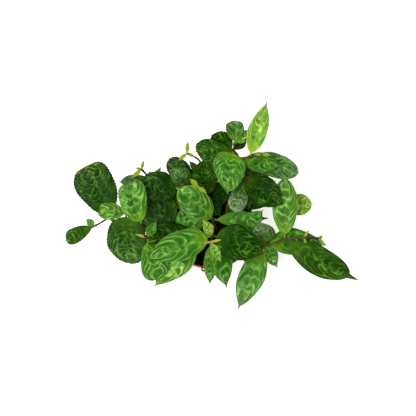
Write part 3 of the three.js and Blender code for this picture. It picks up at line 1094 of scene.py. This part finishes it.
LEAFY_STEMS = (
    LeafyStem("front", (2, 12), ((3, 1, 112), (2, -22, 138), (0, -31, 148)), (
        Leaf(1, 144, 54, 40, 64, 34, 0.45, swell=0.6, taper=0.55, rings=6.5),
        Leaf(1, 2, 6, 14, 65, 17, 0.45, rings=9),
        Leaf(2, -161, 14, 36, 80, 34, 0.4, swell=0.55, taper=0.75, rings=6.5),
        Leaf(2, -20, 22, 38, 65, 40, 0.1, swell=0.55, rings=9),
        Leaf(3, -55, -17, 40, 63, 27, 0.35, bend=-0.2, taper=1.1, rings=5),
        Leaf(3, -91, -35, 30, 65, 15, 0.45),
        Leaf(3, -62, -4, 24, 26, 10, 0.7, rings=5),
        Leaf(2, 127, 59, 20, 27, 12, 0.84, rings=4),
        Leaf(3, -160, 48, 10, 12, 3, 1.2),
        Leaf(3, 5, 40, 10, 14, 3, 1.2),
    )),
    LeafyStem("front_left", (-12, -6), ((-18, -19, 108), (-73, -22, 124), (-79, -8, 134)), (
        Leaf(1, 110, 20, 24, 42, 32, 0.4, rings=5.5),
        Leaf(1, -111, 11, 50, 75, 29, 0.6, bend=-0.36, rings=6),
        Leaf(1, -152, -10, 40, 58, 26, 0.2),
        Leaf(1, -178, 30, 34, 62, 34, 0.05, swell=0.5, taper=0.45),
        Leaf(2, -70, -7, 36, 55, 33, 0.45, bend=-0.1, taper=0.45, rings=7),
        Leaf(3, 112, 64, 110, 59, 32, 0.46, bend=-0.1, swell=0.6, taper=0.34, rings=6.5),
        Leaf(2, 60, 16, 14, 22, 12, 0.35, rings=7),
        Leaf(2, 164, 18, 20, 14, 3, 1.1),
    )),
    LeafyStem("west", (-24, 8), ((-60, 18, 103), (-98, 8, 119), (-114, 3, 122), (-135, -7, 115)), (
        Leaf(1, -140, -10, 36, 46, 26, 0.2),
        Leaf(3, 118, 27, 40, 68, 45, 0.11, swell=0.5, taper=0.3, drip=0.01, tooth=1.2, rings=12, sheen=0.06),
        Leaf(2, -179, 50, 70, 37, 20, 0.55, taper=0.5, rings=5.5),
        Leaf(4, -157, -5, 30, 42, 19, 0.2, taper=0.4, rings=7),
        Leaf(4, 140, 24, 12, 13, 9, 0.6),
        Leaf(3, -81, -30, 10, 8, 5, 0.5),
        Leaf(
            2, -92, -2, 36, 62, 46, 0.17,
            bend=0.12, swell=0.45, taper=0.5, drip=0.02, tooth=1.2, rings=11, sheen=0.07,
        ),
    )),
    LeafyStem("west_north", (-20, 21), ((-36, 17, 107), (-37, 37, 114), (-67, 46, 121), (-80, 57, 132)), (
        Leaf(1, -169, 24, 36, 48, 46, 0.08, bend=0.1, swell=0.5, taper=0.45, rings=8, sheen=0.1),
        Leaf(1, 118, -4, 36, 42, 24, 0.1),
        Leaf(1, 140, -6, 36, 46, 20, 0.15),
        Leaf(2, 179, 40, 52, 50, 37, 0.07, swell=0.55, taper=0.5, sheen=0.05),
        Leaf(3, 115, 38, 10, 13, 6, 0.5),
        Leaf(3, 57, 31, 12, 19, 7, 0.4),
        Leaf(3, -176, 19, 24, 40, 15, 0.15, taper=0.6, rings=7, sheen=0.2),
        Leaf(4, -137, 3, 14, 15, 5, 1),
        Leaf(4, 69, 45, 10, 12, 4, 1),
        Leaf(4, 179, 45, 10, 8, 3, 1),
    )),
    LeafyStem("north_west", (-10, 30), (
        (-21, 42, 104), (-14, 59, 112), (-12, 67, 122), (-16, 69, 136), (-27, 72, 146),
    ), (
        Leaf(1, 132, 39, 32, 46, 25, 0.04, swell=0.6, taper=0.45, drip=0.02, rings=8, sheen=0.05),
        Leaf(1, 156, 74, 44, 48, 25, 0.24, swell=0.6, taper=0.5, rings=7, sheen=0.15),
        Leaf(1, 82, -4, 36, 31, 22, 0.1),
        Leaf(1, 112, -16, 36, 38, 20, 0.1),
        Leaf(2, 133, 23, 20, 17, 8, 0.2),
        Leaf(5, 84, 42, 10, 15, 5, 1),
        Leaf(5, -144, -14, 10, 13, 5, 1),
        Leaf(5, -22, -6, 10, 10, 4, 1),
    )),
    LeafyStem("centre", (-6, 12), ((-5, 27, 114), (-10, 35, 146), (-14, 30, 157)), (
        Leaf(1, 95, 38, 30, 47, 31, 0.1, taper=0.7),
        Leaf(1, -50, -10, 20, 27, 22, 0),
        Leaf(1, -100, -14, 20, 30, 20, 0),
        Leaf(3, 142, 39, 12, 14, 6, 1),
        Leaf(3, -41, 24, 10, 13, 5, 1),
    )),
    LeafyStem("north", (10, 27), ((18, 52, 116), (22, 64, 138), (26, 74, 151), (27, 80, 159)), (
        Leaf(1, 100, -4, 36, 54, 26, 0.15),
        Leaf(1, 76, -8, 36, 48, 22, 0.2),
        Leaf(1, 138, -8, 40, 44, 24, 0.15),
        Leaf(1, -108, -12, 20, 43, 20, 0),
        Leaf(3, -158, 10, 38, 42, 36, 0.14, bend=-0.42, swell=0.55, taper=0.5, rings=8),
        Leaf(3, -109, 18, 38, 51, 37, 0.43, bend=0.2, swell=0.4, taper=0.7, rings=8),
        Leaf(3, 140, 4, 36, 35, 25, 0.08, taper=0.7, rings=7),
        Leaf(3, 52, -14, 20, 27, 14, 0.1),
        Leaf(4, 88, 11, 54, 33, 21, 0.35, taper=0.6, rings=5, sheen=0.2),
        Leaf(4, 45, 8, 30, 24, 15, 0.6, rings=5),
    )),
    LeafyStem("north_east", (20, 20), ((26, 52, 110), (34, 65, 147), (44, 65, 155), (58, 67, 159)), (
        Leaf(1, 14, -6, 40, 56, 26, 0.2),
        Leaf(1, 50, -12, 36, 42, 22, 0.2),
        Leaf(3, 72, 27, 26, 66, 22, 0.78, rings=7),
        Leaf(2, -8, -2, 36, 76, 29, 0.3, taper=0.6, drip=0.02, rings=8, sheen=0.2),
        Leaf(2, -15, 11, 24, 48, 23, 0.36, bend=0.1, rings=7),
        Leaf(4, -177, 28, 10, 10, 5, 1),
        Leaf(4, -7, 18, 10, 10, 4, 0.9),
    )),
    LeafyStem("east", (18, 8), ((22, 26, 106), (38, 45, 136), (59, 42, 132), (85, 16, 120)), (
        Leaf(1, 4, 0, 36, 58, 26, 0.1),
        Leaf(1, 36, -12, 30, 46, 22, 0.15),
        Leaf(1, -58, 4, 30, 34, 22, 0.1),
        Leaf(2, -39, 28, 40, 57, 34, 0.08, taper=0.75, rings=12),
        Leaf(2, -105, -8, 40, 44, 22, 0.18, taper=0.5, rings=7, sheen=0.6),
        Leaf(2, -76, -22, 30, 38, 22, 0.15),
        Leaf(2, 130, 60, 20, 15, 8, 0.8),
        Leaf(3, -29, -8, 20, 20, 10, 0.4),
        Leaf(4, 6, 3, 26, 36, 26, 0.8, taper=0.7, rings=7),
    )),
    LeafyStem("south_east", (14, -8), (
        (35, -16, 112), (62, -30, 121), (84, -25, 129), (106, -23, 133), (124, -24, 131),
    ), (
        Leaf(1, 45, 40, 26, 41, 22, 0.42, rings=6),
        Leaf(1, -58, -8, 40, 54, 26, 0.15),
        Leaf(1, -116, -10, 24, 44, 22, 0.2),
        Leaf(1, -8, -6, 30, 58, 26, 0.2),
        Leaf(2, 104, 47, 36, 30, 30, 0.18, rings=7, sheen=0.35),
        Leaf(2, -57, -16, 26, 33, 17, 0.5, taper=1.1, rings=6),
        Leaf(2, -113, 4, 40, 83, 30, 0.38, rings=5, sheen=0.15),
        Leaf(2, 10, 7, 26, 72, 32, 0.36, bend=-0.15, rings=8),
        Leaf(3, 89, 24, 36, 75, 29, 0.55, swell=0.6, taper=0.6, rings=8),
        Leaf(3, -37, 7, 38, 100, 34, 0.19, bend=0.17, swell=0.6, taper=0.6, drip=0.14, tooth=0.2, rings=11),
        Leaf(4, 55, 52, 10, 11, 3, 1.1),
        Leaf(4, -75, -12, 20, 28, 5, 0.8),
        Leaf(5, -53, -25, 10, 12, 4, 1),
        Leaf(5, 42, 64, 10, 6, 4, 1),
    )),
)


def spline(knots: Sequence[Vector], steps: int) -> Iterator[Vector]:
    """Follow a centripetal Catmull-Rom curve through some points.

    Args:
        knots: The points.
        steps: How many places are given between two points.

    Yields:
        Places along the curve, from the first point to the last.
    """
    padded = [2 * knots[0] - knots[1], *knots, 2 * knots[-1] - knots[-2]]
    for before, start, end, after in zip(padded, padded[1:], padded[2:], padded[3:]):
        gaps = [math.sqrt((b - a).length) for a, b in ((before, start), (start, end), (end, after))]
        near = (start - before) / gaps[0] - (end - before) / (gaps[0] + gaps[1]) + (end - start) / gaps[1]
        far = (end - start) / gaps[1] - (after - start) / (gaps[1] + gaps[2]) + (after - end) / gaps[2]
        near *= gaps[1]
        far *= gaps[1]
        for i in range(steps):
            t = i / steps
            square = (3 * (end - start) - 2 * near - far) * t**2
            cube = (2 * (start - end) + near + far) * t**3
            yield start + near * t + square + cube
    yield knots[-1].copy()


@dataclass
class Foliage:
    """All the leafy stems: a branch's path and leaves in, one grown piece out."""

    stem_foot: float = 62
    peat_edge: float = 78.5
    upright: float = 86
    stem_radius: float = 1.75
    stem_sides: int = 14
    tip_radius: float = 1.05
    joint_swell: float = 0.5
    joint_reach: float = 2.4
    path_steps: int = 14
    shoot_length: float = 26
    along: int = 92
    across: int = 14
    bud_along: int = 26
    bud_across: int = 8
    thickness: float = 0.42
    rib: float = 1.3
    rib_reach: float = 1.5
    groove: float = 0.35
    groove_reach: float = 1.3
    tooth_pitch: float = 3.6
    quilt: float = 0.04
    quilts: float = 16
    fold: float = 0.12
    arch: float = 0.05
    edge_wave: float = 0.07
    swings: float = 1.9
    ripples: float = 3.7
    sideways: float = 0.025
    edge_crowding: float = 1.4
    stalk: float = 0.08
    stalk_width: float = 2.2
    tip_width: float = 0.9
    tip_slope: float = 0.17

    def path(self, plan: LeafyStem) -> list[Vector]:
        """Lay out a stem's middle line, upright in the peat and then through its points.

        Args:
            plan: The stem.

        Returns:
            Places along the line, in millimetres.
        """
        heights = (self.stem_foot, self.peat_edge, self.upright)
        knots = [Vector((*plan.foot, height)) for height in heights]
        knots += [Vector(point) for point in plan.points]
        return list(spline(knots, self.path_steps))

    def radii(self, path: Sequence[Vector], run: Sequence[float], joints: Sequence[Vector]) -> list[float]:
        """The stem's radius along its path: a slow taper, swollen where leaves join, with a rounded tip.

        Args:
            path: The stem's middle line.
            run: How far each place on it is from its start.
            joints: Where the leaves join.

        Returns:
            A radius in millimetres for each place on the path.
        """
        result = []
        for place, far in zip(path, run):
            taper = self.stem_radius + (self.tip_radius - self.stem_radius) * far / run[-1]
            swell = sum(math.exp(-(((place - joint).length / self.joint_reach) ** 2)) for joint in joints)
            left = run[-1] - far
            tip = math.sqrt(max(0.04, 1 - max(0.0, 1 - left / self.tip_radius) ** 2))
            result.append((taper + self.joint_swell * min(1.0, swell)) * tip)
        return result

    def plan_mesh(self, plan: LeafyStem, number: int) -> Mesh:
        """Lay a leafy stem out as the mesh that the tree grows it from.

        Args:
            plan: The stem and its leaves.
            number: The stem's number, for its leaves' seeds.

        Returns:
            A mesh with an edge path for the stem and a loose point for each leaf, with their sizes.
        """
        path, leaves = self.path(plan), plan.leaves
        run = list(accumulate(((b - a).length for a, b in zip(path, path[1:])), initial=0.0))
        joints = [Vector(plan.points[leaf.at - 1]) for leaf in leaves]
        mesh = bpy.data.meshes.new(plan.name)
        places = [place * MM for place in [*path, *joints]]
        mesh.from_pydata(places, [(i, i + 1) for i in range(len(path) - 1)], [])
        columns = {
            "thick": [radius * MM for radius in self.radii(path, run, joints)],
            "shoot": [max(0.0, 1 - (run[-1] - far) / self.shoot_length) for far in run],
        }
        rows = {name: [getattr(leaf, name) * unit for leaf in leaves] for name, unit in LEAF_UNITS.items()}
        rows |= {
            "is_leaf": [1.0] * len(leaves),
            "full": [float(leaf.grade is Grade.FULL) for leaf in leaves],
            "seed": [(0.618 * i + 0.37 * number) % 1 for i in range(len(leaves))],
        }
        for name in columns | rows:
            values = columns.get(name, [0.0] * len(path)) + rows.get(name, [0.0] * len(leaves))
            mesh.attributes.new(name, "FLOAT", "POINT").data.foreach_set("value", values)
        return mesh

    def tree(self, leaf: Material, stem: Material) -> GrowingTree:
        """Build the tree that grows a stem along its path and a leaf from each loose point.

        Args:
            leaf: The leaves' material.
            stem: The stem's material.

        Returns:
            A tree with inputs for the division, thickness, teeth and materials of the leaves.
        """
        sizes = {
            "Along": self.along,
            "Across": self.across,
            "Bud Along": self.bud_along,
            "Bud Across": self.bud_across,
            "Thickness": self.thickness * MM,
            "Rib": self.rib * MM,
            "Tooth Pitch": self.tooth_pitch * MM,
            "Leaf": leaf,
            "Stem": stem,
        }
        tree = GrowingTree("leafy stem", sizes)
        points, path = tree.split(tree.given("Geometry"), "is_leaf")
        full, buds = tree.split(points, "full")
        slabs = tree.join(self.slabs(tree, full, ""), self.slabs(tree, buds, "Bud "))
        leaves = tree.dress(self.shaped(tree, slabs), "Leaf")

        line = tree.make("MeshToCurve", path)
        ring = tree.make("CurvePrimitiveCircle", Resolution=self.stem_sides, Radius=1.0)
        tube = tree.make("CurveToMesh", line, ring, Scale=tree.read("thick"), Fill_Caps=True)
        return tree.finish(tree.join(leaves, tree.dress(tube, "Stem")))

    @staticmethod
    def slabs(tree: GrowingTree, points: Value, kind: str) -> Value:
        """Put a flat closed slab on each point, ready to be bent into a leaf.

        The slab's "param" attribute runs from -1 to 1 across the leaf, from 0 to 1 along it, and from 0
        underneath to 1 on top. Bending mirrors the slab, so its faces start out facing inward.

        Args:
            tree: The tree.
            points: The points.
            kind: What the inputs that hold the slab's division start with.

        Returns:
            The slabs as plain meshes.
        """
        across, along = (tree.given(kind + way) + 1 for way in ("Across", "Along"))
        flat = tree.make("MeshGrid", 2.0, 1.0, across, along)
        flat = tree.make("Transform", flat, Translation=(0.0, 0.5, 0.0))
        raised = tree.make("ExtrudeMesh", flat, Offset=(0.0, 0.0, 1.0), Individual=False)
        slab = tree.weld(tree.join(tree.make("FlipFaces", raised), flat), 1e-4)
        slab = tree.store(slab, "param", tree.make("InputPosition"), "FLOAT_VECTOR")
        return tree.copies(points, slab)

    def shaped(self, tree: GrowingTree, slabs: Value) -> Value:
        """Bend the slabs into leaves.

        Args:
            tree: The tree.
            slabs: The slabs, each at the place that its leaf grows from.

        Returns:
            The leaves, with the attributes that their material reads.
        """
        param = tree.read("param", "FLOAT_VECTOR")
        names = ("width", "length", "tooth", "bend", "seed", "heading", "rise", "droop")
        width, length, tooth, bend, seed, heading, start, curl = (tree.read(name) for name in names)
        across, along, top = tree.parts(param)
        side = tree.math("SIGN", across)
        edge = tree.size(across) ** self.edge_crowding
        half = self.half_width(tree, along, width, length)

        at_edge = tree.smooth(edge, 0.8, 1.0)
        body = tree.smooth(half, 2 * MM, 7 * MM)
        bite = tree.math("FRACT", along * length / tree.given("Tooth Pitch") + seed * 3 + side * 0.2)
        teeth = (bite - 0.4) * tooth * at_edge * body
        swing = tree.sin((along * self.swings + side * 0.21 + seed * 5) * TAU)
        ripple = tree.sin((along * self.ripples + side * 0.33 + seed * 3) * TAU)
        out = side * (edge * half * (1 + swing * self.sideways) + teeth)

        bulge = tree.sin(edge * math.pi)
        wave = (swing * 0.6 + ripple * 0.4) * self.edge_wave * edge * edge
        lift = half * (edge * self.fold + bulge * self.arch + wave)
        quilt = tree.sin((along * self.quilts - edge * 1.4) * TAU) * bulge * self.quilt * MM * body
        off_rib = tree.size(out)
        groove = (1 - tree.smooth(off_rib, 0.0, self.groove_reach * MM)) * body * self.groove * MM
        rib = (1 - tree.smooth(off_rib, 0.0, self.rib_reach * MM)) * tree.given("Rib") * (1.15 - along)
        thick = tree.given("Thickness") * (1 - at_edge * 0.4) + rib
        lift = lift + quilt - groove * top - thick * (1 - top)

        slope = start - curl * along
        forward = length * (tree.sin(start) - tree.sin(slope)) / curl
        climb = length * (tree.cos(slope) - tree.cos(start)) / curl
        ahead = tree.vector(tree.cos(heading), tree.sin(heading), 0.0)
        level = tree.vector(tree.sin(heading) * -1, tree.cos(heading), 0.0)
        place = tree.combine("SUBTRACT", tree.make("InputPosition"), param)
        steps = (
            tree.scale(ahead, forward - lift * tree.sin(slope)),
            tree.vector(0.0, 0.0, climb + lift * tree.cos(slope)),
            tree.scale(level, length * bend * along * along + out),
        )
        for step in steps:
            place = tree.combine("ADD", place, step)
        blade = tree.vector(side * edge * half / length, along, seed)
        slabs = tree.store(slabs, "blade", blade, "FLOAT_VECTOR")
        slabs = tree.store(slabs, "under", 1 - top)
        slabs = tree.store(slabs, "across", side * edge)
        return tree.make("SetPosition", slabs, Position=place)

    def half_width(self, tree: GrowingTree, along: Value, width: Value, length: Value) -> Value:
        """Work out half a blade's width: a short stalk, a swell and a drawn-out tip.

        Args:
            tree: The tree.
            along: The share of the leaf's length where the width is wanted.
            width: The leaf's width.
            length: The leaf's length.

        Returns:
            Half the width there.
        """
        swell, taper = tree.read("swell"), tree.read("taper")
        inner = (along - self.stalk) / (1 - self.stalk - tree.read("drip"))
        blade = tree.math("MINIMUM", 1.0, tree.math("MAXIMUM", 0.0, inner))
        peak = swell / (swell + taper)
        most = peak**swell * (1 - peak) ** taper
        full = blade**swell * (1 - blade) ** taper / most
        is_stalk = tree.math("LESS_THAN", along, 0.5)
        tip = (1 - along) * length * self.tip_slope + self.tip_width / 2 * MM
        least = is_stalk * (self.stalk_width / 2 * MM - tip) + tip
        return tree.math("MAXIMUM", width / 2 * full, tree.math("MINIMUM", least, width / 2))

    def build(self, plan: LeafyStem, number: int, tree: GrowingTree) -> Object:
        """Grow one leafy stem in place of its solid, by the tree, with its number for a seed."""
        piece = tree.grow(f"{plan.name}_leaves", self.plan_mesh(plan, number))
        return placed(piece, f"leafy_stem_{plan.name}", "leaf")


# ---- studio ----

WHITE = (1.0, 1.0, 1.0, 1.0)


def facing(way: Vector) -> Euler:
    """The turn of a lamp or camera that looks a way."""
    return way.to_track_quat("-Z", "Y").to_euler()


@dataclass
class Studio:
    """A pale floor, soft lights from above and a camera that looks down from the front."""

    aim: Point = (-0.003, 0.020, 0.090)
    elevation: float = 78
    distance: float = 0.95
    picture: float = 416
    pixels_per_metre: float = 1 / (1.2 * MM)
    floor_size: float = 4
    floor_glow: float = 0.45
    sky: float = 0.9
    high_sky: float = 0.4
    sky_fade: tuple[float, float] = (0.25, 0.6)

    def floor(self) -> None:
        """Lay the floor, which glows a little."""
        work = bmesh.new()
        bmesh.ops.create_grid(work, x_segments=8, y_segments=8, size=self.floor_size)
        mesh = meshed(work, "floor")
        glow = {"Emission_Color": WHITE, "Emission_Strength": self.floor_glow}
        coat = Coating("floor", Roughness=0.9, **glow)
        soft = coat.blend(coat.noise(coat.place(), 3, 2), linear("#fbfbfb"), "#ffffff")
        mesh.materials.append(coat.finish(soft))
        shown("floor", mesh)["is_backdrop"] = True

    def lights(self) -> None:
        """Hang the soft lights, in a world that is brighter near the floor."""
        world = bpy.data.worlds.new("studio")
        world.use_nodes = True
        air = Tree(world.node_tree)
        height = air.parts(air.value("ShaderNodeTexCoord", output="Object"))[2]
        strength = self.sky - air.smooth(height, *self.sky_fade) * (self.sky - self.high_sky)
        sky = world.node_tree.nodes["Background"]
        sky.inputs["Color"].default_value = WHITE
        world.node_tree.links.new(strength.socket, sky.inputs["Strength"])
        bpy.context.scene.world = world
        self.lamp("key", (-0.35, -0.25, 1.25), 0.5, 15.0)
        self.lamp("fill", (0.8, 0.5, 0.9), 0.9, 1.0)

    @staticmethod
    def lamp(name: str, place: Point, size: float, power: float) -> None:
        """Hang a square soft light that faces the plant.

        Args:
            name: The light's name.
            place: Where it hangs.
            size: The length of its side, in metres.
            power: Its power in watts.
        """
        light = bpy.data.lights.new(name, "AREA")
        light.size = size
        light.energy = power
        lamp = shown(name, light)
        lamp.location = place
        lamp.rotation_euler = facing(Vector((0, 0, 0.1)) - Vector(place))

    def camera(self) -> None:
        """Place the camera."""
        tilt = math.radians(self.elevation)
        back = Vector((0, -math.cos(tilt), math.sin(tilt)))
        lens = bpy.data.cameras.new("camera")
        lens.sensor_fit = "HORIZONTAL"
        lens.angle = 2 * math.atan(self.picture / 2 / (self.distance * self.pixels_per_metre))
        camera = shown("camera", lens)
        camera.location = Vector(self.aim) + back * self.distance
        camera.rotation_euler = facing(-back)
        bpy.context.scene.camera = camera

    def build(self) -> None:
        """Set up the whole studio."""
        self.camera()
        self.floor()
        self.lights()
        bpy.context.scene.view_settings.view_transform = "Standard"


def corners(box: tuple) -> list[list[float]]:
    """A box's lowest and highest corners as plain lists."""
    return [[float(number) for number in corner] for corner in box]


def main() -> None:
    """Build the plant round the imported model."""
    logging.basicConfig(level=logging.INFO, format="%(name)s: %(message)s")
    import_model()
    solid_box = corners(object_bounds())
    Studio().build()

    net, speckle = leaf_net_group(), speckle_group()
    Pot().build(PotFinish().material(speckle))
    Peat().build(PeatFinish().material(speckle), FibreFinish().material(speckle))
    foliage = Foliage()
    tree = foliage.tree(LeafFinish().material(net), StemFinish().material(speckle))
    for number, plan in enumerate(LEAFY_STEMS):
        foliage.build(plan, number, tree)

    {"cad": solid_box, "visual": corners(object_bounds())}


if __name__ == "__main__":
    main()
